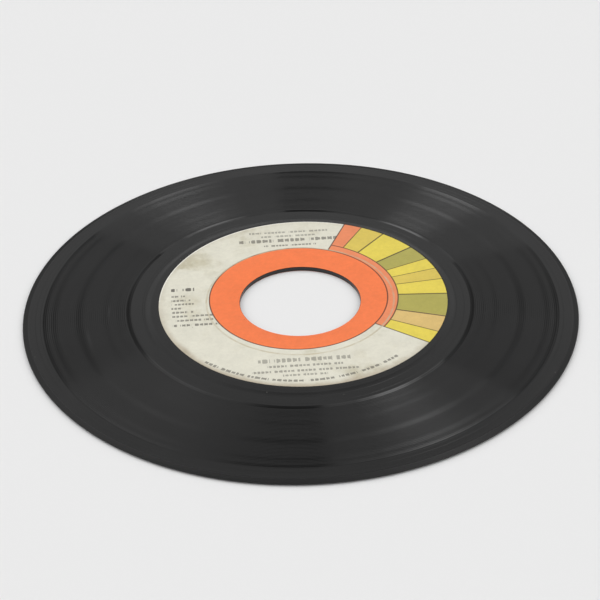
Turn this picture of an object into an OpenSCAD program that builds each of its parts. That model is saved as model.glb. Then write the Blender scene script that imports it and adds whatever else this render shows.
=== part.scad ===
/* [Disc] */
// Outside diameter of the record
disc_d = 174.6; // [172:0.1:178]
// Diameter of the large centre hole
hole_d = 38.2; // [36:0.1:40]
// Thickness through the labels, where the record is thickest
centre_t = 1.6; // [1.4:0.05:2.2]
// Outside diameter of the thick land that carries the label
land_d = 94.8; // [94.2:0.1:96]
// Outside diameter of the smooth run-out band
runout_d = 108.8; // [106:0.1:112]
// Diameter inside which the outer edge bead starts
bead_d = 169; // [168.6:0.1:170]
// Step down from the label land to the run-out band, on each side
land_drop = 0.2; // [0.1:0.01:0.25]
// Step down from the run-out band to the grooved band, on each side
band_drop = 0.05; // [0.03:0.01:0.08]
// Height of the edge bead above the grooved band, on each side
bead_h = 0.08; // [0.04:0.01:0.15]
// Radial width of each of the slopes between two levels
slope_w = 0.6; // [0.4:0.05:0.8]

/* [Groove] */
// Diameter at which the groove starts, just inside the edge bead
lead_in_d = 168.2; // [167:0.2:168.4]
// Diameter at which the closely wound playing groove starts
first_d = 162.2; // [160:0.2:164]
// Distance from one turn of the playing groove to the next
pitch = 0.6; // [0.4:0.04:1]
// Depth of the playing groove, half its width at the surface
groove_depth = 0.04; // [0.03:0.005:0.05]
// Inward travel of the groove in each half turn of the lead-in
lead_in_step = 0.75; // [0.5:0.05:1]
// Inward travel of the groove in each half turn of the run-out
run_out_step = 1.8; // [1.5:0.1:2]
// Half turns from the last playing turn to the closed end ring
run_out_halves = 3; // [2:1:3]

/* [Labels] */
// Outside diameter of the paper labels
label_d = 91.4; // [88:0.1:92]
// Thickness of the label paper
label_t = 0.12; // [0.08:0.01:0.15]
// Gap between the edge of a label and the wall of its recess
label_gap = 0.1; // [0.05:0.01:0.2]
// Distance by which a label stops short of the centre hole
label_setback = 0.1; // [0.05:0.01:0.3]
// Diameter of the ring that the press leaves in the label
press_ring_d = 58.6; // [50:0.1:70]
// Width of the ring that the press leaves in the label
press_ring_w = 0.5; // [0.3:0.05:0.8]
// Depth of the ring that the press leaves in the label
press_ring_depth = 0.05; // [0.03:0.01:0.06]

/* [Hidden] */
$fn = 180;

mid_z = centre_t / 2;
runout_z = centre_t - land_drop;
band_z = runout_z - band_drop;
recess_z = centre_t - label_t;
recess_r = label_d / 2 + label_gap;
rim_r = band_z + bead_h - mid_z;
rim_x = disc_d / 2 - rim_r;

// Places along the groove lie on whole hundredths of a millimetre, so that each half turn ends where
// the next begins.
function hundredths(x) = round(x * 100) / 100;
half_pitch = 2 * hundredths(pitch / 4);
first_r = hundredths(first_d / 2);
land_beside_slope = 0.06;
band_end_r = hundredths(runout_d / 2 + groove_depth + land_beside_slope);
turns = floor((first_r - band_end_r) / (2 * half_pitch));
last_r = first_r - 2 * turns * half_pitch;
lead_in_halves = 2 * round((lead_in_d - first_d) / 4 / lead_in_step);
end_ring_r = last_r - run_out_halves * run_out_step;
tip_z = band_z - groove_depth;
// A playing turn's cutter ends this far above the surface, and a lead-in or run-out turn's is this tall.
flare = 0.02;
wide_cutter_h = 0.2;
// Angle of the short stretches in which two half turns meet, on either side of the X axis.
joint_angle = 3;

// The disc's cross-section from the hole to the rim, seen along +Y, upper levels only.
upper_levels = [
    [hole_d / 2, recess_z],
    [recess_r, recess_z],
    [recess_r, centre_t],
    [land_d / 2, centre_t],
    [land_d / 2 + slope_w, runout_z],
    [runout_d / 2 - slope_w, runout_z],
    [runout_d / 2, band_z],
    [bead_d / 2, band_z],
    [bead_d / 2 + slope_w, band_z + bead_h],
    [rim_x, band_z + bead_h]
];

// The disc before its grooves: the same levels above and below the middle, and a round rim.
module blank() {
    last = len(upper_levels) - 1;
    rotate_extrude() {
        polygon(concat(
            [for (level = upper_levels) [level.x, centre_t - level.y]],
            [for (i = [last:-1:0]) upper_levels[i]]
        ));
        translate([rim_x, mid_z]) circle(r = rim_r);
    }
}

// Sweeps a section along the half turn that starts at distance a from the hole's centre and ends
// half_step nearer. Half turns on the +Y side (side 0) and the -Y side (side 1) alternate, each about
// its own centre on the X axis, so the line runs on without a break or a corner. from and to bound
// the stretch of it that is swept.
module half_turn(a, half_step, side, from = 0, to = 180) {
    rotate([0, 0, side * 180])
        translate([half_step / 2, 0, 0])
            rotate_extrude(angle = to - from, start = from)
                translate([a - half_step / 2, tip_z])
                    children();
}

// The playing groove's right-angled section for all turns at once: a bar with a tooth for each turn.
module playing_section() {
    tooth = groove_depth + flare;
    turn_x = [for (k = [0:turns - 1]) -k * 2 * half_pitch];
    polygon(concat(
        [for (x = turn_x) each [[x + tooth, tooth], [x, 0], [x - tooth, tooth]]],
        [[turn_x[turns - 1] - tooth, 2 * wide_cutter_h], [tooth, 2 * wide_cutter_h]]
    ));
}

module playing_stretch(side, from, to) {
    half_turn(first_r - side * half_pitch, half_pitch, side, from, to) playing_section();
}

module wide_section() {
    polygon([[0, 0], [wide_cutter_h, wide_cutter_h], [-wide_cutter_h, wide_cutter_h]]);
}

// From the edge bead to the first playing turn.
module lead_in() {
    for (i = [0:lead_in_halves - 1])
        half_turn(first_r + (lead_in_halves - i) * lead_in_step, lead_in_step, i % 2) wide_section();
}

// From the last playing turn over the slope to the closed ring that holds the stylus at the end.
module run_out() {
    for (i = [0:run_out_halves - 1])
        half_turn(last_r - i * run_out_step, run_out_step, i % 2) wide_section();
    rotate_extrude() translate([end_ring_r, tip_z]) wide_section();
}

// Cuts one unbroken groove into the upper face. It winds inward counter-clockwise, as a stylus
// follows it.
module grooved() {
    difference() {
        children();
        lead_in();
        playing_stretch(0, 0, joint_angle);
        playing_stretch(0, joint_angle, 180 - joint_angle);
        playing_stretch(0, 180 - joint_angle, 180);
        playing_stretch(1, 0, joint_angle);
        playing_stretch(1, joint_angle, 180 - joint_angle);
        playing_stretch(1, 180 - joint_angle, 180);
        run_out();
    }
}

// Turns the record over about the X axis, onto its other side.
module turned_over() {
    translate([0, 0, centre_t]) rotate([180, 0, 0]) children();
}

module disc() {
    color([0.2, 0.2, 0.21]) grooved() turned_over() grooved() blank();
}

// A label in the upper recess, face up, with the shallow ring that the press leaves in it.
module label() {
    translate([0, 0, centre_t])
        rotate_extrude()
            polygon([
                [hole_d / 2 + label_setback, 0],
                [hole_d / 2 + label_setback, -label_t],
                [label_d / 2, -label_t],
                [label_d / 2, 0],
                [(press_ring_d + press_ring_w) / 2, 0],
                [press_ring_d / 2, -press_ring_depth],
                [(press_ring_d - press_ring_w) / 2, 0]
            ]);
}

module label_side_a() {
    color([0.87, 0.86, 0.78]) label();
}

module label_side_b() {
    color([0.87, 0.86, 0.78]) turned_over() label();
}

disc();
label_side_a();
label_side_b();
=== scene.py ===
import math
import bpy
from mathutils import Matrix, Vector


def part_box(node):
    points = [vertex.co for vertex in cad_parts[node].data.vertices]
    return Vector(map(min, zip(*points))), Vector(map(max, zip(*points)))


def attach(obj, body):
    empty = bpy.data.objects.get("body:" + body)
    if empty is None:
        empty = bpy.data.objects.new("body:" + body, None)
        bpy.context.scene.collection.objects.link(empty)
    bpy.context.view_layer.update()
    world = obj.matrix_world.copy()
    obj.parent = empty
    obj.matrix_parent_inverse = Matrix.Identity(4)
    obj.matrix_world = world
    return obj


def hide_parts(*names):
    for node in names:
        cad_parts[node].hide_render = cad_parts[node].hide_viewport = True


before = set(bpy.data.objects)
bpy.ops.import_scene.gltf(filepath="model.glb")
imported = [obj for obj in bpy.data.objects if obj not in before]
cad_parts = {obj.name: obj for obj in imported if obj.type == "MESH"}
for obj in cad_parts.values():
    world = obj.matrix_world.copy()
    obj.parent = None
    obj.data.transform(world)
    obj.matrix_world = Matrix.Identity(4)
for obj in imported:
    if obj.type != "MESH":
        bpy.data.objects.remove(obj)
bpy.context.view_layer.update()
mm = 0.001
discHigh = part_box("disc")[1]
labelLow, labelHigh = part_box("label_side_a")
rimRadius = discHigh.x / mm
thickness = discHigh.z / mm
midHeight = thickness / 2
labelRadius = labelHigh.x / mm
labelBottom = labelLow.z / mm
print("frame loaded, record", round(2 * rimRadius, 1), "mm across")


# Node helpers

# A colour as a paint chart gives it, 0 to 255, in the linear values that a shader takes.
def paint(red, green, blue):
    parts = [c / 255 for c in (red, green, blue)]
    return [c / 12.92 if c <= 0.04045 else ((c + 0.055) / 1.055) ** 2.4 for c in parts] + [1]


# A link where the value is another node's output, and else a number on the socket.
def feed(tree, socket, value):
    if isinstance(value, bpy.types.NodeSocket):
        tree.links.new(value, socket)
    else:
        socket.default_value = value


def calc(tree, operation, *values, clamp=False):
    step = tree.nodes.new("ShaderNodeMath")
    step.operation = operation
    step.use_clamp = clamp
    for socket, value in zip(step.inputs, values):
        feed(tree, socket, value)
    return step.outputs[0]


def apart(tree, first, second):  # how far two numbers are from each other
    return calc(tree, "ABSOLUTE", calc(tree, "SUBTRACT", first, second))


def ramp(tree, value, low, high, toLow=0.0, toHigh=1.0, smooth=True):
    step = tree.nodes.new("ShaderNodeMapRange")
    step.interpolation_type = "SMOOTHSTEP" if smooth else "LINEAR"
    names = ("Value", "From Min", "From Max", "To Min", "To Max")
    for name, amount in zip(names, (value, low, high, toLow, toHigh)):
        feed(tree, step.inputs[name], amount)
    return step.outputs["Result"]


def mixColours(tree, factor, first, second, how="MIX"):
    step = tree.nodes.new("ShaderNodeMix")
    step.data_type = "RGBA"
    step.blend_type = how
    feed(tree, step.inputs["Factor"], factor)
    feed(tree, step.inputs["A"], first)
    feed(tree, step.inputs["B"], second)
    return step.outputs["Result"]


# Noise in space, or along one number where that is given.
def noise(tree, scale, vector=None, detail=2.0, roughness=0.5, along=None):
    step = tree.nodes.new("ShaderNodeTexNoise")
    if along is not None:
        step.noise_dimensions = "1D"
        feed(tree, step.inputs["W"], along)
    else:
        feed(tree, step.inputs["Vector"], vector)
    step.inputs["Scale"].default_value = scale
    step.inputs["Detail"].default_value = detail
    step.inputs["Roughness"].default_value = roughness
    return step.outputs["Fac"]


def mapping(tree, vector, location=(0, 0, 0), turn=0.0, scale=(1, 1, 1)):
    step = tree.nodes.new("ShaderNodeMapping")
    feed(tree, step.inputs["Vector"], vector)
    step.inputs["Location"].default_value = location
    step.inputs["Rotation"].default_value = (0, 0, turn)
    step.inputs["Scale"].default_value = scale
    return step.outputs["Vector"]


def newGroup(name, takes, gives):
    group = bpy.data.node_groups.new(name, "ShaderNodeTree")
    for socketName, kind in takes:
        group.interface.new_socket(socketName, in_out="INPUT", socket_type=kind)
    for socketName, kind in gives:
        group.interface.new_socket(socketName, in_out="OUTPUT", socket_type=kind)
    return group, group.nodes.new("NodeGroupInput").outputs, group.nodes.new("NodeGroupOutput").inputs


def useGroup(tree, group, **values):
    step = tree.nodes.new("ShaderNodeGroup")
    step.node_tree = group
    for name, value in values.items():
        feed(tree, step.inputs[name], value)
    return step.outputs


def numbers(*names):  # number sockets of these names
    return [(name, "NodeSocketFloat") for name in names]


placeSocket = ("Place", "NodeSocketVector")


# Distance from the record's axis in millimetres, angle round it in degrees, and place in millimetres.
def makePolarGroup():
    tree, takes, gives = newGroup("aroundTheHole", [placeSocket], numbers("Radius", "Angle", "X", "Y"))
    parts = tree.nodes.new("ShaderNodeSeparateXYZ")
    tree.links.new(takes["Place"], parts.inputs[0])
    across = calc(tree, "MULTIPLY", parts.outputs[0], 1000.0)
    back = calc(tree, "MULTIPLY", parts.outputs[1], 1000.0)
    squares = calc(tree, "ADD", calc(tree, "MULTIPLY", across, across), calc(tree, "MULTIPLY", back, back))
    tree.links.new(calc(tree, "SQRT", squares), gives["Radius"])
    tree.links.new(calc(tree, "DEGREES", calc(tree, "ARCTAN2", back, across)), gives["Angle"])
    tree.links.new(across, gives["X"])
    tree.links.new(back, gives["Y"])
    return tree


# One where a value lies within half a width of a middle value, with a soft edge.
def makeBandGroup():
    settings = numbers("Value", "Middle", "Width", "Soft")
    tree, takes, gives = newGroup("softBand", settings, numbers("Mask"))
    off = apart(tree, takes["Value"], takes["Middle"])
    past = calc(tree, "SUBTRACT", off, calc(tree, "MULTIPLY", takes["Width"], 0.5))
    tree.links.new(ramp(tree, past, 0.0, takes["Soft"], 1.0, 0.0), gives["Mask"])
    return tree


# Fine dust specks and a broad uneven haze, for any surface that has been handled.
def makeWearGroup():
    settings = [placeSocket, *numbers("Speck Size", "Specks")]
    tree, takes, gives = newGroup("handling", settings, numbers("Dust", "Haze"))
    cells = tree.nodes.new("ShaderNodeTexVoronoi")
    tree.links.new(takes["Place"], cells.inputs["Vector"])
    tree.links.new(calc(tree, "DIVIDE", 1.0, takes["Speck Size"]), cells.inputs["Scale"])
    chance = tree.nodes.new("ShaderNodeSeparateColor")
    tree.links.new(cells.outputs["Color"], chance.inputs[0])
    kept = calc(tree, "LESS_THAN", chance.outputs[0], takes["Specks"])
    size = calc(tree, "MULTIPLY", chance.outputs[1], 0.12)  # at most this share of a cell
    speck = ramp(tree, cells.outputs["Distance"], size, calc(tree, "ADD", size, 0.05), 1.0, 0.0)
    tree.links.new(calc(tree, "MULTIPLY", speck, kept), gives["Dust"])
    broad = noise(tree, 38.0, takes["Place"], detail=4.0, roughness=0.55)
    tree.links.new(ramp(tree, broad, 0.35, 0.7), gives["Haze"])
    return tree


polarGroup = makePolarGroup()
bandGroup = makeBandGroup()
wearGroup = makeWearGroup()


def band(tree, value, middle, width, soft):
    return useGroup(tree, bandGroup, Value=value, Middle=middle, Width=width, Soft=soft)["Mask"]


def handling(tree, look, objectPlace):
    size, share = look["speckSize"], look["specks"]
    return useGroup(tree, wearGroup, Place=objectPlace, **{"Speck Size": size, "Specks": share})


def dusted(tree, look, wear, colour):
    dust = calc(tree, "MULTIPLY", wear["Dust"], look["dustStrength"])
    return mixColours(tree, dust, colour, look["dustColour"])


def addBump(tree, shader, height, distance=1.0, strength=1.0):
    bump = tree.nodes.new("ShaderNodeBump")
    bump.inputs["Distance"].default_value = distance
    bump.inputs["Strength"].default_value = strength
    tree.links.new(height, bump.inputs["Height"])
    tree.links.new(bump.outputs["Normal"], shader.inputs["Normal"])


def newMaterial(name):
    material = bpy.data.materials.new(name)
    material.use_nodes = True
    tree = material.node_tree
    shader = tree.nodes["Principled BSDF"]
    objectPlace = tree.nodes.new("ShaderNodeTexCoord").outputs["Object"]
    return material, tree, shader, objectPlace


# Vinyl

# Passages where the groove swings wider: middle radius, width and strength. Shape and finish both
# follow them.
loudPassages = [(80.6, 1.4, 1.35), (77.5, 1.6, 0.8), (69.7, 2.0, 0.9), (61.5, 1.6, 0.4), (57.6, 1.2, 0.25)]
moat = {"radius": 54.3, "width": 1.3, "depth": 0.25}  # two dips, at the inner end of the grooves

vinylLook = {
    "smoothColour": paint(22, 22, 22),
    # the grooved band is painted darker than the smooth vinyl, as painted shade in its grooves
    "groovedShadeColour": paint(5, 5, 5),
    "hazeColour": paint(46, 46, 47),
    "hazeStrength": 0.12,
    "hazeRoughness": 0.05,
    "dustColour": paint(150, 148, 142),
    "dustStrength": 0.35,
    "speckSize": 0.0015,  # metres, of the cell that a speck lies in
    "specks": 0.008,  # share of the cells that hold one
    "smoothRoughness": 0.16,
    "groovedRoughness": 0.2,
    "passageRoughness": 0.08,  # by which it varies from passage to passage
    "louderRoughness": -0.03,
    "moatRoughness": 0.14,
    "rimRoughness": 0.55,
    "rimStart": 85.6,
    # the rim painted lighter, a painted reflection along the edge
    "rimReflectionColour": paint(41, 41, 41),
    "landSheenColour": paint(36, 36, 36),  # the slope round the label, painted lighter as a painted sheen
    "landMiddle": 48.0,
    "landWidth": 1.0,
    "grooveStart": 81.2,  # mm from the axis, like all radii here
    "grooveEnd": 54.0,
    "fineLines": 0.000012,  # metres of height
    "scuffs": [(67.6, -165, 7, 0.5), (60.4, -177, 5, 0.35)],  # radius, angle, spread and width
    "scuffStrength": 0.5,
}


def vinylRoughness(tree, look, radius, grooved, trimmedRimAndReflection, haze):
    smooth, rough = look["smoothRoughness"], look["groovedRoughness"]
    roughness = ramp(tree, grooved, 0.0, 1.0, smooth, rough, smooth=False)
    passages = noise(tree, 0.45, along=radius, detail=5.0, roughness=0.7)
    swing = calc(tree, "MULTIPLY", grooved, look["passageRoughness"])
    varied = calc(tree, "MULTIPLY", calc(tree, "SUBTRACT", passages, 0.5), swing)
    roughness = calc(tree, "ADD", roughness, varied)
    for middle, width, strength in loudPassages:  # they are cut wider, and glint more
        passage = band(tree, radius, middle, width - 0.4, 0.5)
        change = calc(tree, "MULTIPLY", passage, strength * look["louderRoughness"])
        roughness = calc(tree, "ADD", roughness, change)
    hazy = calc(tree, "MULTIPLY", haze, look["hazeRoughness"])
    roughness = calc(tree, "ADD", roughness, hazy, clamp=True)
    inMoat = band(tree, radius, moat["radius"], moat["width"], 0.1)
    smoother = calc(tree, "MULTIPLY", inMoat, calc(tree, "SUBTRACT", look["moatRoughness"], roughness))
    roughness = calc(tree, "ADD", roughness, smoother)
    return calc(tree, "MAXIMUM", roughness, calc(tree, "MULTIPLY", trimmedRimAndReflection, look["rimRoughness"]))


def vinylColour(tree, look, radius, angle, grooved, trimmedRimAndReflection, wear):
    # The grooved band takes a darker colour: painted shade of the grooves.
    colour = mixColours(tree, grooved, look["smoothColour"], look["groovedShadeColour"])
    # The rim is painted lighter too, a painted reflection along the edge.
    colour = mixColours(tree, trimmedRimAndReflection, colour, look["rimReflectionColour"])
    # The slope round the label is painted lighter, a painted sheen.
    onSlope = band(tree, radius, look["landMiddle"], look["landWidth"], 0.6)
    colour = mixColours(tree, onSlope, colour, look["landSheenColour"])
    haze = calc(tree, "MULTIPLY", wear["Haze"], look["hazeStrength"])
    colour = mixColours(tree, haze, colour, look["hazeColour"])
    for middle, centre, spread, width in look["scuffs"]:
        fading = ramp(tree, apart(tree, angle, float(centre)), 0.0, float(spread), 1.0, 0.0)
        arc = calc(tree, "MULTIPLY", band(tree, radius, middle, width, 0.4), fading)
        scuff = calc(tree, "MULTIPLY", arc, look["scuffStrength"])
        colour = mixColours(tree, scuff, colour, look["hazeColour"])
    return dusted(tree, look, wear, colour)


def makeVinyl(look):
    material, tree, shader, objectPlace = newMaterial("vinyl")
    around = useGroup(tree, polarGroup, Place=objectPlace)
    radius, angle = around["Radius"], around["Angle"]
    start, end = look["grooveStart"], look["grooveEnd"]
    inside = ramp(tree, radius, start - 0.15, start + 0.15, 1.0, 0.0)
    outside = ramp(tree, radius, end - 0.15, end + 0.15)
    grooved = calc(tree, "MULTIPLY", inside, outside)
    # The rim: rougher where it was trimmed, and painted lighter as a painted reflection.
    trimmedRimAndReflection = ramp(tree, radius, look["rimStart"] - 0.3, look["rimStart"] + 0.3)
    wear = handling(tree, look, objectPlace)

    roughness = vinylRoughness(tree, look, radius, grooved, trimmedRimAndReflection, wear["Haze"])
    tree.links.new(roughness, shader.inputs["Roughness"])
    colour = vinylColour(tree, look, radius, angle, grooved, trimmedRimAndReflection, wear)
    tree.links.new(colour, shader.inputs["Base Color"])
    fineLines = noise(tree, 3.0, along=radius, detail=2.0, roughness=0.6)
    height = calc(tree, "MULTIPLY", calc(tree, "MULTIPLY", fineLines, grooved), look["fineLines"])
    addBump(tree, shader, height)

    # Round the axis, which the quarter turn below makes radial.
    tangent = tree.nodes.new("ShaderNodeTangent")
    tangent.direction_type = "RADIAL"
    tangent.axis = "Z"
    tree.links.new(tangent.outputs[0], shader.inputs["Tangent"])
    shader.inputs["Anisotropic"].default_value = 1.0
    shader.inputs["Anisotropic Rotation"].default_value = 0.25
    shader.inputs["IOR"].default_value = 1.54
    return material


# Label paper and print
orange, salmon, yellow = paint(250, 128, 74), paint(238, 142, 98), paint(232, 212, 88)
gold, olive, tan = paint(222, 198, 92), paint(178, 170, 88), paint(222, 190, 120)
printLook = {
    "labelOffset": (0.9, 1.05),  # mm by which the paper's edge misses the hole's centre
    "pressOffset": (0, 0.8),  # mm by which the ring that the press leaves misses it
    "pressRing": 29.7,
    "pressRingColour": paint(194, 182, 154),  # of the pressed ring, painted a greyish tan unevenly along it
    "offset": (-0.5, 2.15),  # mm by which the print misses it
    "turn": 3.1,  # degrees
    "paper": paint(226, 223, 207),
    "stain": paint(168, 157, 118),
    "blot": {"angle": 160.0, "spread": 10.0, "radius": 42.5, "width": 4.0, "strength": 0.65},
    "edgeStain": paint(146, 120, 84),
    "edgeStainAngle": -110.0,  # where the edge is browned most
    # a painted highlight along the paper's cut edge
    "edgeHighlight": paint(252, 250, 240),
    "edgeHighlightAngle": 120.0,  # where the painted highlight on the cut edge is strongest
    "dustColour": paint(120, 104, 80),
    "dustStrength": 0.5,
    "speckSize": 0.0016,
    "specks": 0.03,
    "paperRoughness": 0.62,
    "inkRoughness": 0.45,
    "ink": paint(70, 66, 60),
    "outline": paint(60, 50, 42),
    "ring": orange,
    "ringRadius": 28.3,
    "lineWidth": 0.3,
    "fanInner": 31.6,
    "fanFrom": -37,
    "fanTo": 66,
    "fanArc": salmon,
    "fan": [yellow, tan, olive, yellow, gold, yellow, olive, yellow, gold, salmon],
    "rows": [  # from, to, middle, height, letter, strength: plain blocks where a label carries its print
        (-14, 12.3, 38.45, 1, 1.3, 0.5), (-10.4, 9, 36.05, 1, 1.3, 0.5),
        (-17.6, 15.9, 33.45, 1.9, 1.8, 0.65), (-9.4, 7.9, 30.35, 0.9, 1.1, 0.65),
        (-40.4, -33, 7.35, 1.7, 2.4, 0.85), (-40.4, -36, 3.75, 1, 1.2, 0.65),
        (-40.4, -34.3, 1.35, 1, 1.2, 0.65), (-40.4, -33.3, -0.75, 1, 1.2, 0.65),
        (-40.4, -36.5, -2.95, 1, 1.2, 0.65), (-40.4, -33.5, -5.15, 1, 1.2, 0.65),
        (-40.2, -27, -7.35, 1, 1.3, 0.65), (-40.2, -27, -9.65, 1, 1.3, 0.65),
        (-40, -25.5, -12.25, 1.1, 1.4, 0.7), (-14.5, 13.6, -33.45, 1.9, 1.8, 0.5),
        (-12.3, 10.9, -36.35, 1, 1.3, 0.55), (-16.5, 15.4, -38.85, 1, 1.3, 0.55),
        (-7.4, 6, -40.95, 0.9, 1.3, 0.5),
    ],
    "curvedRow": (-102.5, -39, 43.9, 1, 1.6, 0.65),  # from and to along the arc
}


# One row of small blocks in words, in place of print.
def makeRowGroup():
    settings = numbers("Along", "Across", "From", "To", "Middle", "Height", "Letter", "Seed")
    tree, takes, gives = newGroup("printedRow", settings, numbers("Mask"))
    steps = calc(tree, "ADD", calc(tree, "DIVIDE", takes["Along"], takes["Letter"]), takes["Seed"])
    gaps = []
    # The gaps between letters, and then those between words.
    for scale, low, high, randomness in ((1.0, 0.09, 0.16, 0.7), (0.19, 0.05, 0.09, 0.9)):
        cells = tree.nodes.new("ShaderNodeTexVoronoi")
        cells.voronoi_dimensions = "1D"
        cells.feature = "DISTANCE_TO_EDGE"
        cells.inputs["Scale"].default_value = scale
        cells.inputs["Randomness"].default_value = randomness
        tree.links.new(steps, cells.inputs["W"])
        gaps.append(ramp(tree, cells.outputs["Distance"], low, high))
    tall = noise(tree, 1.3, along=steps, detail=0.0)
    half = calc(tree, "MULTIPLY", takes["Height"], ramp(tree, tall, 0.35, 0.65, 0.34, 0.5))
    off = apart(tree, takes["Across"], takes["Middle"])
    bar = ramp(tree, off, half, calc(tree, "ADD", half, 0.14), 1.0, 0.0)
    ends = calc(tree, "MULTIPLY", calc(tree, "GREATER_THAN", takes["Along"], takes["From"]),
                calc(tree, "LESS_THAN", takes["Along"], takes["To"]))
    blocks = calc(tree, "MULTIPLY", calc(tree, "MULTIPLY", gaps[0], gaps[1]), bar)
    tree.links.new(calc(tree, "MULTIPLY", blocks, ends), gives["Mask"])
    return tree


rowGroup = makeRowGroup()


def printedRow(tree, along, across, row, seed):
    start, end, middle, height, letter, strength = row
    step = useGroup(tree, rowGroup, Along=along, Across=across, From=start, To=end, Middle=middle,
                    Height=height, Letter=letter, Seed=seed)
    return calc(tree, "MULTIPLY", step["Mask"], strength)


def strongest(tree, masks):
    total = masks[0]
    for mask in masks[1:]:
        total = calc(tree, "MAXIMUM", total, mask)
    return total


def stainedPaper(tree, look, radius, angle, objectPlace, seed):
    moved = mapping(tree, objectPlace, location=(seed * 0.37, 0, 0))
    cloud = noise(tree, 70.0, moved, detail=5.0, roughness=0.62)
    paper = mixColours(tree, ramp(tree, cloud, 0.5, 0.78, 0.0, 0.55), look["paper"], look["stain"])
    spot = look["blot"]
    blotAngle = band(tree, angle, spot["angle"], spot["spread"], 12.0)
    blotRadius = band(tree, radius, spot["radius"], spot["width"], 4.0)
    blot = calc(tree, "MULTIPLY", blotAngle, blotRadius)
    blot = calc(tree, "MULTIPLY", blot, ramp(tree, cloud, 0.42, 0.66))
    paper = mixColours(tree, calc(tree, "MULTIPLY", blot, spot["strength"]), paper, look["stain"])
    towardsEdge = calc(tree, "ADD", radius, calc(tree, "MULTIPLY", cloud, 4.0))
    rim = ramp(tree, towardsEdge, labelRadius - 0.6, labelRadius + 2.0)
    browned = ramp(tree, apart(tree, angle, look["edgeStainAngle"]), 30.0, 80.0, 0.5, 0.12)
    paper = mixColours(tree, calc(tree, "MULTIPLY", rim, browned), paper, look["edgeStain"])

    # Away from there the cut edge carries a painted highlight, a pale line.
    pale = ramp(tree, apart(tree, angle, look["edgeHighlightAngle"]), 40.0, 75.0, 0.8, 0.0)
    edgeHighlight = ramp(tree, radius, labelRadius - 0.45, labelRadius - 0.25)
    return mixColours(tree, calc(tree, "MULTIPLY", edgeHighlight, pale), paper, look["edgeHighlight"])


# Plain coloured rays of uneven width, round a plain arc. Gives their colour, their area and their outlines.
def rayFan(tree, look, printRadius, printAngle):
    spread = look["fanTo"] - look["fanFrom"]
    turned = calc(tree, "SUBTRACT", printAngle, float(look["fanFrom"]))
    position = calc(tree, "DIVIDE", turned, float(spread))  # across the fan, 0 to 1
    started, ended = calc(tree, "GREATER_THAN", position, 0.0), calc(tree, "LESS_THAN", position, 1.0)
    inFan = calc(tree, "MULTIPLY", started, ended)
    inFan = calc(tree, "MULTIPLY", inFan, calc(tree, "GREATER_THAN", printRadius, look["ringRadius"]))
    wave = calc(tree, "SINE", calc(tree, "MULTIPLY", position, 4 * math.pi))
    sway = calc(tree, "MULTIPLY", wave, 0.03)  # makes the rays' widths uneven
    count = len(look["fan"])
    ray = calc(tree, "MULTIPLY", calc(tree, "ADD", position, sway), float(count))
    tints = tree.nodes.new("ShaderNodeValToRGB")
    tints.color_ramp.interpolation = "CONSTANT"
    for i, tint in enumerate(look["fan"]):
        stop = tints.color_ramp.elements[i] if i < 2 else tints.color_ramp.elements.new(i / count)
        stop.position = i / count
        stop.color = tint
    tree.links.new(calc(tree, "DIVIDE", ray, float(count)), tints.inputs[0])
    inner = calc(tree, "LESS_THAN", printRadius, look["fanInner"])
    colour = mixColours(tree, inner, tints.outputs[0], look["fanArc"])

    degree = calc(tree, "MULTIPLY", printRadius, math.radians(1))  # mm round the axis
    fromRayEdge = apart(tree, ray, calc(tree, "ROUND", ray))
    fromRayEdge = calc(tree, "MULTIPLY", fromRayEdge, calc(tree, "MULTIPLY", degree, spread / count))
    halfLine = look["lineWidth"] / 2
    rayLine = ramp(tree, fromRayEdge, halfLine, halfLine + 0.1, 1.0, 0.0)
    rayLine = calc(tree, "MULTIPLY", rayLine, calc(tree, "GREATER_THAN", printRadius, look["fanInner"]))
    innerLine = band(tree, printRadius, look["fanInner"], look["lineWidth"], 0.1)
    lines = calc(tree, "MULTIPLY", calc(tree, "MAXIMUM", rayLine, innerLine), inFan)
    fromSide = apart(tree, apart(tree, position, 0.5), 0.5)
    fromSide = calc(tree, "MULTIPLY", fromSide, calc(tree, "MULTIPLY", degree, float(spread)))
    sideLine = ramp(tree, fromSide, halfLine, halfLine + 0.1, 1.0, 0.0)
    sideLine = calc(tree, "MULTIPLY", sideLine, calc(tree, "GREATER_THAN", printRadius, look["ringRadius"]))
    return colour, inFan, calc(tree, "MAXIMUM", lines, sideLine)


def movedBack(tree, objectPlace, offset):  # the place as seen from this many mm off the hole's centre
    return mapping(tree, objectPlace, location=(-offset[0] * mm, -offset[1] * mm, 0))


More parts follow.
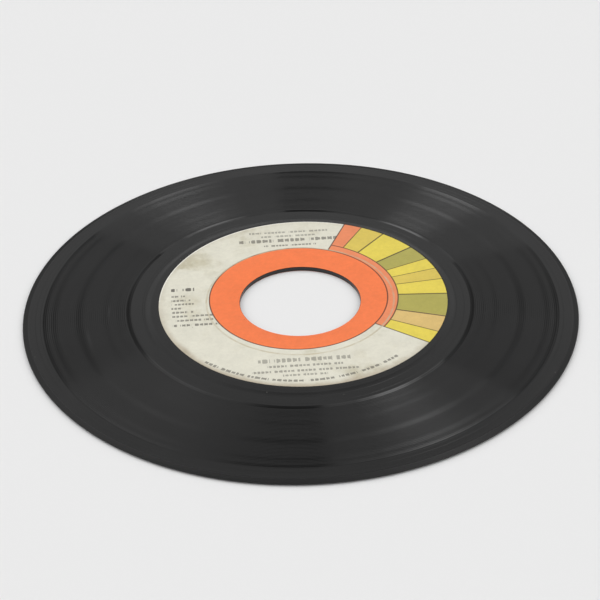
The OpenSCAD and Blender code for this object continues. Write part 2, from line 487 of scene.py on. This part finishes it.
# The paper with its print, and where there is ink.
def printedPaper(tree, look, objectPlace, seed):
    paperPlace = movedBack(tree, objectPlace, look["labelOffset"])
    aroundPaper = useGroup(tree, polarGroup, Place=paperPlace)
    printPlace = movedBack(tree, objectPlace, look["offset"])
    printPlace = mapping(tree, printPlace, turn=-math.radians(look["turn"]))
    printed = useGroup(tree, polarGroup, Place=printPlace)
    radius, angle, x, y = printed["Radius"], printed["Angle"], printed["X"], printed["Y"]

    # The fan lies on the paper, the ring on the fan, and the outlines on both.
    colour = stainedPaper(tree, look, aroundPaper["Radius"], aroundPaper["Angle"], objectPlace, seed)
    fanColour, inFan, fanLines = rayFan(tree, look, radius, angle)
    inRing = ramp(tree, radius, look["ringRadius"], look["ringRadius"] + 0.12, 1.0, 0.0)
    colour = mixColours(tree, inFan, colour, fanColour)
    colour = mixColours(tree, inRing, colour, look["ring"])
    ringLine = band(tree, radius, look["ringRadius"], look["lineWidth"], 0.1)
    outlines = calc(tree, "MAXIMUM", fanLines, ringLine)
    colour = mixColours(tree, calc(tree, "MULTIPLY", outlines, 0.85), colour, look["outline"])

    arcLength = calc(tree, "MULTIPLY", calc(tree, "RADIANS", angle), look["curvedRow"][2])
    rows = [printedRow(tree, x, y, row, 3.7 * i + seed) for i, row in enumerate(look["rows"])]
    rows.append(printedRow(tree, arcLength, radius, look["curvedRow"], 1.9 + seed))
    inFanOrRing = calc(tree, "MAXIMUM", inFan, inRing)
    words = calc(tree, "MULTIPLY", strongest(tree, rows), calc(tree, "SUBTRACT", 1.0, inFanOrRing))
    return mixColours(tree, words, colour, look["ink"]), calc(tree, "MAXIMUM", inFanOrRing, words)


# The pressed ring is painted a greyish tan, unevenly, and all ink shows the paper's grain, under a little
# dust.
def texturedPrint(tree, look, objectPlace, fibres, colour):
    pressPlace = movedBack(tree, objectPlace, look["pressOffset"])
    pressRadius = useGroup(tree, polarGroup, Place=pressPlace)["Radius"]
    inkFlow = noise(tree, 260.0, objectPlace, detail=3.0)
    pressed = band(tree, pressRadius, look["pressRing"], 0.35, 0.25)
    pressTone = calc(tree, "MULTIPLY", pressed, ramp(tree, inkFlow, 0.3, 0.6, 0.25, 0.75))
    colour = mixColours(tree, pressTone, colour, look["pressRingColour"])
    grain = ramp(tree, fibres, 0.25, 0.75, 0.93, 1.04, smooth=False)
    shade = calc(tree, "MULTIPLY", grain, ramp(tree, inkFlow, 0.3, 0.7, 0.96, 1.03, smooth=False))
    shadeColour = tree.nodes.new("ShaderNodeCombineColor")
    for socket in shadeColour.inputs[:3]:
        tree.links.new(shade, socket)
    colour = mixColours(tree, 1.0, colour, shadeColour.outputs[0], how="MULTIPLY")
    return dusted(tree, look, handling(tree, look, objectPlace), colour)


def makeLabelPaper(name, look, seed, flip):
    material, tree, shader, objectPlace = newMaterial(name)
    if flip:  # the lower label is read from below
        objectPlace = mapping(tree, objectPlace, scale=(1, -1, 1))
    fibres = noise(tree, 900.0, objectPlace, detail=4.0, roughness=0.7)
    colour, inked = printedPaper(tree, look, objectPlace, seed)
    tree.links.new(texturedPrint(tree, look, objectPlace, fibres, colour), shader.inputs["Base Color"])
    dry, inky = look["paperRoughness"], look["inkRoughness"]
    tree.links.new(ramp(tree, inked, 0.0, 1.0, dry, inky, smooth=False), shader.inputs["Roughness"])
    addBump(tree, shader, fibres, distance=0.00004, strength=0.35)
    shader.inputs["Specular IOR Level"].default_value = 0.35
    return material


vinyl = makeVinyl(vinylLook)
labelPaperA = makeLabelPaper("label_paper_a", printLook, 0.0, flip=False)
labelPaperB = makeLabelPaper("label_paper_b", printLook, 5.0, flip=True)
print("materials made")


# Modelling helpers

# A closed outline in the XZ plane, drawn point by point, in millimetres.
def drawSection(name, corners):
    bpy.ops.object.select_all(action="DESELECT")
    bpy.ops.mesh.primitive_plane_add(size=mm)
    piece = bpy.context.object
    piece.name = name
    piece.data.name = name
    bpy.ops.object.mode_set(mode="EDIT")
    bpy.ops.mesh.select_all(action="SELECT")
    bpy.ops.mesh.merge(type="CENTER")
    bpy.ops.transform.translate(value=(corners[0][0] * mm, 0, corners[0][1] * mm))
    for (x, z), (nextX, nextZ) in zip(corners, corners[1:]):
        move = ((nextX - x) * mm, 0, (nextZ - z) * mm)
        bpy.ops.mesh.extrude_region_move(TRANSFORM_OT_translate={"value": move})
    bpy.ops.mesh.select_all(action="SELECT")
    bpy.ops.mesh.edge_face_add()
    bpy.ops.object.mode_set(mode="OBJECT")
    return piece


def selectVertices(piece, wanted):  # wanted tells from a vertex's place whether it is taken
    for face in piece.data.polygons:
        face.select = False
    for edge in piece.data.edges:
        edge.select = False
    for vertex in piece.data.vertices:
        vertex.select = wanted(vertex.co)


def roundCorners(piece, corners, offset, segments):
    near = 1e-6
    selectVertices(piece, lambda at: any(
        math.hypot(at.x - x * mm, at.z - z * mm) < near for x, z in corners))
    bpy.ops.object.mode_set(mode="EDIT")
    bpy.ops.mesh.select_mode(type="VERT")
    bpy.ops.mesh.bevel(offset=offset * mm, segments=segments, affect="VERTICES")
    bpy.ops.object.mode_set(mode="OBJECT")


def spinSection(steps):  # of the piece that was just drawn
    bpy.ops.object.mode_set(mode="EDIT")
    bpy.ops.mesh.select_all(action="SELECT")
    bpy.ops.mesh.delete(type="ONLY_FACE")
    bpy.ops.mesh.select_all(action="SELECT")
    bpy.ops.mesh.spin(steps=steps, angle=math.tau, center=(0, 0, 0), axis=(0, 0, 1))
    bpy.ops.mesh.select_all(action="SELECT")
    bpy.ops.mesh.remove_doubles(threshold=1e-7)
    bpy.ops.mesh.normals_make_consistent(inside=False)
    bpy.ops.object.mode_set(mode="OBJECT")


# Moves one side's vertices near this radius sideways.
def moveRing(piece, radius, offset, above=True, reach=0.12):
    selectVertices(piece, lambda at: (
        abs(math.hypot(at.x, at.y) / mm - radius) < reach and (at.z > midHeight * mm) == above))
    bpy.ops.object.mode_set(mode="EDIT")
    bpy.ops.mesh.select_mode(type="VERT")
    bpy.ops.transform.translate(value=(offset[0] * mm, offset[1] * mm, 0))
    bpy.ops.object.mode_set(mode="OBJECT")


def turnOver(piece):  # to the record's other side
    bpy.ops.object.select_all(action="DESELECT")
    piece.select_set(True)
    bpy.context.view_layer.objects.active = piece
    bpy.ops.object.mode_set(mode="EDIT")
    bpy.ops.mesh.select_all(action="SELECT")
    bpy.ops.transform.rotate(value=math.pi, orient_axis="X", center_override=(0, 0, midHeight * mm))
    bpy.ops.object.mode_set(mode="OBJECT")


def finishPiece(piece, node, sharpAngle):
    bpy.ops.object.select_all(action="DESELECT")
    piece.select_set(True)
    bpy.context.view_layer.objects.active = piece
    bpy.ops.object.shade_smooth_by_angle(angle=math.radians(sharpAngle))
    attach(piece, "root")
    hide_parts(node)


spinSteps = 240
labelShift = printLook["labelOffset"]

# The pressed disc, in millimetres, with heights from the surface that the record lies on
discSizes = {
    "hole": 19.1,
    "recess": 45.8,
    "recessHeight": labelBottom,
    "land": 47.6,
    "landFoot": 48.55,
    "runOutHeight": 1.4,
    "slopeFoot": 54.5,
    "slopeTop": 53.75,
    "bandHeight": 1.35,
    "bead": 84.55,
    "beadTop": 85.05,
    "beadHeight": 1.36,
    "rimShoulder": 85.65,
    "rimHeight": 1.21,
    "rimRounding": 0.4,
    "shoulderRounding": 0.38,
    "landRounding": 0.3,
    "footRounding": 0.5,
    "beadRounding": 0.2,
    "crispRounding": 0.04,  # of the hole's and the recess's edges
    "sheetInner": 49.1,  # the grooved face lies between these two
    "sheetOuter": 84.3,
}
grooveSizes = {
    "start": 84.1,
    "leadInPitch": 1.5,
    "leadInTurns": 2,
    "pitch": 0.6,
    "turns": 43,
    "runOutPitch": 3.6,
    "endRing": 49.3,
    "half": 0.085,  # half the width of a played turn at the surface
    "thinHalf": 0.035,  # of the lead-in, and of the turns to the end ring
    "louderHalf": 0.13,  # by which a loud passage is wider on each side
    "wallSlope": 0.78,
    "fadeIn": 0.1,  # turns
    "fadeOut": 0.05,
}


# Height of the pressed face between the run-out band and the edge bead.
def levelHeight(radius):
    s = discSizes
    share = min(max((s["slopeFoot"] + 0.1 - radius) / (s["slopeFoot"] - s["slopeTop"] + 0.2), 0), 1)
    level = s["bandHeight"] + (s["runOutHeight"] - s["bandHeight"]) * share * share * (3 - 2 * share)
    across = (radius - moat["radius"]) / moat["width"]
    dip = 1 - abs(4 * abs(across) - 1) if abs(across) < 0.5 else 0
    return level - moat["depth"] * dip


# How much wider the groove swings at this radius.
def loudness(radius):
    total = 0
    for middle, width, strength in loudPassages:
        off = min(abs(radius - middle) / width, 1)
        total += strength * (0.5 + 0.5 * math.cos(math.pi * off))
    return total


# Radius of the groove's middle after so many turns, and how much of its depth it has.
def grooveAt(turn):
    g = grooveSizes
    firstTurn = g["start"] - g["leadInPitch"] * g["leadInTurns"]
    lastTurn = firstTurn - g["pitch"] * g["turns"]
    playedTurns = g["leadInTurns"] + g["turns"]
    endTurn = playedTurns + (lastTurn - g["endRing"]) / g["runOutPitch"]
    if turn < g["leadInTurns"]:
        radius = g["start"] - g["leadInPitch"] * turn
    elif turn < playedTurns:
        radius = firstTurn - g["pitch"] * (turn - g["leadInTurns"])
    else:
        radius = lastTurn - g["runOutPitch"] * (turn - playedTurns)
    radius = max(radius, g["endRing"])
    depth = min(turn / g["fadeIn"], (endTurn - turn) / g["fadeOut"], 1)
    return radius, max(depth, 0)


# Half the groove's width: thin in the lead-in and run-out, and wide where it is played.
def grooveHalf(turn, radius):
    g = grooveSizes
    playedTurns = g["leadInTurns"] + g["turns"]
    share = min(1 + (turn - g["leadInTurns"]) / g["fadeIn"], 1 + (playedTurns - turn) / g["fadeIn"], 1)
    played = g["half"] + g["louderHalf"] * loudness(radius)
    return g["thinHalf"] + (played - g["thinHalf"]) * max(share, 0)


# Radius and height of every line of the grooved face, this share of a turn round the record.
def grooveSection(share):
    s, g = discSizes, grooveSizes
    crossing = g["leadInTurns"] + g["turns"]  # the turn that climbs the slope
    wholeTurns = crossing + 2
    slope = [moat["radius"] + moat["width"] * quarter / 4 for quarter in (2, 1, 0, -1, -2)]
    ringHalf = g["thinHalf"]
    ringOuter = g["endRing"] + ringHalf
    lines = [(s["sheetOuter"], s["bandHeight"])]
    for i in range(wholeTurns):
        radius, depth = grooveAt(i + share)
        if i == 0:  # the line starts at the sheet's edge
            radius = radius + (s["sheetOuter"] - radius) * max(1 - share / g["fadeIn"], 0)
        radius = max(radius, ringOuter)
        half = min(grooveHalf(i + share, radius) * depth, radius - ringOuter)
        outer, inner = radius + half, radius - half
        if i == crossing:
            lines += [(max(r, outer), levelHeight(max(r, outer))) for r in slope]
        tip = min(levelHeight(radius), (levelHeight(outer) + levelHeight(inner)) / 2) - g["wallSlope"] * half
        lines += [(outer, levelHeight(outer)), (radius, tip), (inner, levelHeight(inner))]
        if i == crossing:
            lines += [(min(r, inner), levelHeight(min(r, inner))) for r in slope]
    ringLevel = levelHeight(ringOuter)
    lines += [(ringOuter, ringLevel), (g["endRing"], ringLevel - g["wallSlope"] * ringHalf),
              (g["endRing"] - ringHalf, ringLevel)]
    return lines + [(s["sheetInner"], s["runOutHeight"])]


# A grid, rolled up so that its rows wind inward like the groove, and closed at the seam.
def makeGroovedFace():
    lines = len(grooveSection(0))
    bpy.ops.object.select_all(action="DESELECT")
    bpy.ops.mesh.primitive_grid_add(x_subdivisions=lines - 1, y_subdivisions=spinSteps, size=1)
    sheet = bpy.context.object
    for column in range(spinSteps + 1):
        share = column / spinSteps
        section = grooveSection(share)
        angle = math.tau * share
        for line, (radius, height) in enumerate(section):
            vertex = sheet.data.vertices[column * lines + line]
            vertex.co = (radius * math.cos(angle) * mm, radius * math.sin(angle) * mm, height * mm)
    bpy.ops.object.mode_set(mode="EDIT")
    bpy.ops.mesh.select_all(action="SELECT")
    bpy.ops.mesh.remove_doubles(threshold=1e-7)
    bpy.ops.object.mode_set(mode="OBJECT")
    return sheet


# The disc's outline from the hole over the upper side to the rim, and back along the lower side.
def discOutline():
    s = discSizes
    upper = [
        (s["hole"], s["recessHeight"]), (s["recess"], s["recessHeight"]), (s["recess"], thickness),
        (s["land"], thickness), (s["landFoot"], s["runOutHeight"]), (s["sheetInner"], s["runOutHeight"]),
        (s["sheetOuter"], s["bandHeight"]), (s["bead"], s["bandHeight"]), (s["beadTop"], s["beadHeight"]),
        (s["rimShoulder"], s["beadHeight"]), (rimRadius, s["rimHeight"]),
    ]
    return upper + [(x, thickness - z) for x, z in reversed(upper)]


def roundOutline(disc, outline):
    s = discSizes
    for radii, rounding, segments in (
            ([rimRadius], s["rimRounding"], 7), ([s["land"]], s["landRounding"], 4),
            ([s["landFoot"]], s["footRounding"], 5), ([s["bead"], s["beadTop"]], s["beadRounding"], 3),
            ([s["rimShoulder"]], s["shoulderRounding"], 4)):
        roundCorners(disc, [c for c in outline if c[0] in radii], rounding, segments)
    recessEdges = [(s["recess"], thickness), (s["recess"], 0)]
    crispCorners = [c for c in outline if c[0] == s["hole"] or c in recessEdges]
    roundCorners(disc, crispCorners, s["crispRounding"], 2)


# Takes the plain ring off each side, which makes room for a grooved face.
def openPlainRings(disc):
    middle = (discSizes["sheetInner"] + discSizes["sheetOuter"]) / 2
    selectVertices(disc, lambda at: False)
    for face in disc.data.polygons:
        face.select = abs(math.hypot(face.center.x, face.center.y) / mm - middle) < 1
    bpy.ops.object.mode_set(mode="EDIT")
    bpy.ops.mesh.select_mode(type="FACE")
    bpy.ops.mesh.delete(type="FACE")
    bpy.ops.object.mode_set(mode="OBJECT")


def joinOnto(disc, faces):
    bpy.ops.object.select_all(action="DESELECT")
    for part in (*faces, disc):
        part.select_set(True)
    bpy.context.view_layer.objects.active = disc
    bpy.ops.object.join()
    bpy.ops.object.mode_set(mode="EDIT")
    bpy.ops.mesh.select_mode(type="VERT")
    bpy.ops.mesh.select_all(action="SELECT")
    bpy.ops.mesh.remove_doubles(threshold=2e-7)
    bpy.ops.mesh.normals_make_consistent(inside=False)
    bpy.ops.object.mode_set(mode="OBJECT")


def makeDisc():
    outline = discOutline()
    disc = drawSection("vinyl_disc", outline)
    roundOutline(disc, outline)
    spinSection(spinSteps)
    moveRing(disc, discSizes["recess"], (labelShift[0], labelShift[1]))
    moveRing(disc, discSizes["recess"], (labelShift[0], -labelShift[1]), above=False)
    openPlainRings(disc)
    upperFace, lowerFace = makeGroovedFace(), makeGroovedFace()
    turnOver(lowerFace)
    joinOnto(disc, (upperFace, lowerFace))
    disc.data.materials.clear()
    disc.data.materials.append(vinyl)
    return disc


disc = makeDisc()
finishPiece(disc, "disc", 20)
print("disc made,", len(disc.data.polygons), "faces")

# The two labels
labelSizes = {
    "inner": 19.2,
    "pressRing": printLook["pressRing"],
    "pressWidth": 0.5,
    "pressDepth": 0.05,
    "pressRounding": 0.06,
    "edgeRounding": 0.03,
}


def makeLabel(name, paper, below):
    s = labelSizes
    ringHalf = s["pressWidth"] / 2
    corners = [
        (s["inner"], thickness), (s["inner"], labelBottom),
        (labelRadius, labelBottom), (labelRadius, thickness),
        (s["pressRing"] + ringHalf, thickness), (s["pressRing"], thickness - s["pressDepth"]),
        (s["pressRing"] - ringHalf, thickness),
    ]
    label = drawSection(name, corners)
    roundCorners(label, corners[:4], s["edgeRounding"], 2)
    roundCorners(label, corners[4:], s["pressRounding"], 2)
    spinSection(spinSteps)
    moveRing(label, labelRadius, labelShift)
    moveRing(label, s["pressRing"], printLook["pressOffset"], reach=ringHalf + 0.1)
    if below:
        turnOver(label)
    label.data.materials.append(paper)
    return label


for name, paper, node, below in (
        ("label_a", labelPaperA, "label_side_a", False),
        ("label_b", labelPaperB, "label_side_b", True)):
    finishPiece(makeLabel(name, paper, below), node, 25)
print("labels made")


# Floor, light and camera
floorColour = paint(234, 234, 234)


def makeFloor():
    bpy.ops.object.select_all(action="DESELECT")
    bpy.ops.mesh.primitive_plane_add(size=6, location=(0, 0, -0.00002))
    floor = bpy.context.object
    floor.name = "floor"
    material, _, shader, _ = newMaterial("floor")
    shader.inputs["Base Color"].default_value = floorColour
    shader.inputs["Roughness"].default_value = 0.9
    shader.inputs["Specular IOR Level"].default_value = 0.0
    floor.data.materials.append(material)


makeFloor()

toRight, toLeft = (0.56, -0.13, 0.82), (-0.565, 0.11, 0.82)  # to the two soft boxes overhead
lampSettings = [  # name, direction to the lamp, strength, angle across in degrees, what it lights
    ("rightGlow", toRight, 1.325, 80, "pale"),
    ("leftGlow", toLeft, 1.325, 80, "pale"),
    ("rightBox", toRight, 0.11, 17, "dark"),
    ("rightEdge", toRight, 0.18, 30, "dark"),
    ("rightHalo", toRight, 0.58, 60, "dark"),
    ("leftEdge", toLeft, 0.07, 26, "dark"),
    ("leftHalo", toLeft, 0.46, 60, "dark"),
]
leftBeam = {
    "aim": (0.06, 0.07, 0),
    "distance": 0.25,
    "size": 0.09,
    "cone": 22,
    "softEdge": 0.6,
    "power": 0.7,
}
takers = {"pale": ["floor", "label_a", "label_b"], "dark": ["vinyl_disc"]}
takerGroups = {}
for name, pieces in takers.items():
    takerGroups[name] = bpy.data.collections.new(name)
    for piece in pieces:
        takerGroups[name].objects.link(bpy.data.objects[piece])

for name, direction, strength, across, lit in lampSettings:
    bpy.ops.object.light_add(type="SUN")
    lamp = bpy.context.object
    lamp.name = name
    lamp.rotation_mode = "QUATERNION"
    lamp.rotation_quaternion = (-Vector(direction)).to_track_quat("-Z", "Y")
    lamp.data.energy = strength
    lamp.data.angle = math.radians(across)
    lamp.light_linking.receiver_collection = takerGroups[lit]


# A wide beam of nearly parallel light, on the far right part of the record alone.
def makeLeftBeam(settings):
    direction = Vector(toLeft).normalized()
    place = Vector(settings["aim"]) + direction * settings["distance"]
    bpy.ops.object.light_add(type="SPOT", location=place)
    lamp = bpy.context.object
    lamp.name = "leftBeam"
    lamp.rotation_mode = "QUATERNION"
    lamp.rotation_quaternion = (-direction).to_track_quat("-Z", "Y")
    lamp.data.energy = settings["power"]
    lamp.data.shadow_soft_size = settings["size"]
    lamp.data.spot_size = math.radians(settings["cone"])
    lamp.data.spot_blend = settings["softEdge"]
    lamp.light_linking.receiver_collection = takerGroups["dark"]


makeLeftBeam(leftBeam)


# Pale low walls, dimmer towards the ceiling, with a brighter backdrop low behind the record. Heights go
# from straight down to straight up, and levels are plain greys.
worldLook = {
    "walls": [(0.0, 0.08), (1.0, 0.3), (0.25, 0.14), (0.4, 0.38), (0.5, 0.6), (0.57, 0.49), (0.62, 0.44),
              (0.7, 0.32), (0.82, 0.21), (0.91, 0.19)],
    "backdrop": 0.8,
    "backdropStart": 0.86,
    "backdropFull": 0.94,
    "backdropMiddle": 0.34,
    "backdropHeight": 0.14,
    "backdropFade": 0.08,
}


def makeWorld(look):
    world = bpy.data.worlds.new("studio")
    world.use_nodes = True
    bpy.context.scene.world = world
    tree = world.node_tree
    parts = tree.nodes.new("ShaderNodeSeparateXYZ")
    tree.links.new(tree.nodes.new("ShaderNodeTexCoord").outputs["Generated"], parts.inputs[0])
    walls = tree.nodes.new("ShaderNodeValToRGB")
    stops = walls.color_ramp.elements
    for i, (at, level) in enumerate(look["walls"]):
        stop = stops[i] if i < 2 else stops.new(at)
        stop.position = at
        stop.color = (level, level, level, 1)
    tree.links.new(parts.outputs[2], walls.inputs[0])
    backwards = ramp(tree, parts.outputs[1], look["backdropStart"], look["backdropFull"])
    middle, height, fade = look["backdropMiddle"], look["backdropHeight"], look["backdropFade"]
    low = band(tree, parts.outputs[2], middle, height, fade)
    behind = calc(tree, "MULTIPLY", backwards, low)
    lit = mixColours(tree, behind, walls.outputs[0], (*[look["backdrop"]] * 3, 1))
    seen = tree.nodes.new("ShaderNodeLightPath").outputs["Is Camera Ray"]
    colour = mixColours(tree, seen, lit, floorColour)
    tree.links.new(colour, tree.nodes["Background"].inputs["Color"])


makeWorld(worldLook)

cameraSettings = {
    "elevation": 34.69,  # degrees above the record
    "distance": 0.5272,  # metres
    "focalLength": 99.85,  # mm on a frame 36 mm wide
    "roll": -1.54,  # degrees
    "target": (-0.00005, 0.00041, 0.0014),
}


def makeCamera(settings):
    rise = math.radians(settings["elevation"])
    away = Vector((0, -math.cos(rise), math.sin(rise)))
    bpy.ops.object.camera_add(location=Vector(settings["target"]) + away * settings["distance"])
    camera = bpy.context.object
    roll = Matrix.Rotation(math.radians(settings["roll"]), 3, "Z")
    turned = (-away).to_track_quat("-Z", "Y").to_matrix() @ roll
    camera.rotation_euler = turned.to_euler()
    camera.data.lens = settings["focalLength"]
    camera.data.sensor_width = 36
    camera.data.clip_start = 0.01
    bpy.context.scene.camera = camera


makeCamera(cameraSettings)
bpy.context.scene.view_settings.view_transform = "Standard"
print("stage set")
